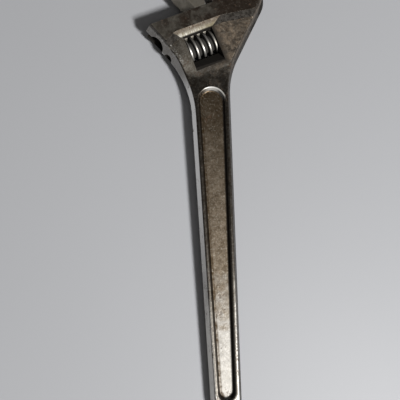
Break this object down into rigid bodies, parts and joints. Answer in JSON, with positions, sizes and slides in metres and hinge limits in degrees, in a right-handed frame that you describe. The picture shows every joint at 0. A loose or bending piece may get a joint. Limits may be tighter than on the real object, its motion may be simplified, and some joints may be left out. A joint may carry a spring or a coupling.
{
  "type": "adjustable wrench",
  "caption": "Adjustable wrench: a forged handle with a fixed jaw, and a movable jaw that a thumb-turned worm slides along its rack to set the opening.",
  "frame": {"origin": "centre of the hang hole, half way through the handle's thickness", "axes": "+Y along the handle towards the head, +Z out of the front face, +X to the right of the handle seen from the front"},
  "size_m": [0.1018, 0.3841, 0.025],
  "materials": {
    "worn_forging": "old worn plating with brown staining and bright rubbed edges",
    "jaw_steel": "worn bright on the jaw's face, stained elsewhere",
    "worm_steel": "dark thread valleys with bright worn crests",
    "screw_steel": "dark oxidised steel",
    "spring_steel": "dark spring wire"
  },
  "bodies": {
    "wrench": {"wrench_body": "worn_forging", "worm_screw": "screw_steel", "worm_spring": "spring_steel"},
    "jaw": {"movable_jaw": "jaw_steel"},
    "worm": {"adjusting_worm": "worm_steel"}
  },
  "joints": [
    {"name": "worm_spin", "type": "hinge", "parent": "wrench", "child": "worm", "pos_m": [-0.00652, 0.29385, 0], "axis": [0.9367, 0.3502, 0], "range_deg": [-367, 2379]},
    {"name": "jaw_slide", "type": "slide", "parent": "wrench", "child": "jaw", "axis": [-0.9367, -0.3502, 0], "range_m": [-0.0057, 0.037]}
  ],
  "couplings": [
    {"joint": "worm_spin", "follows": "jaw_slide", "rad_per_m": 1122}
  ]
}
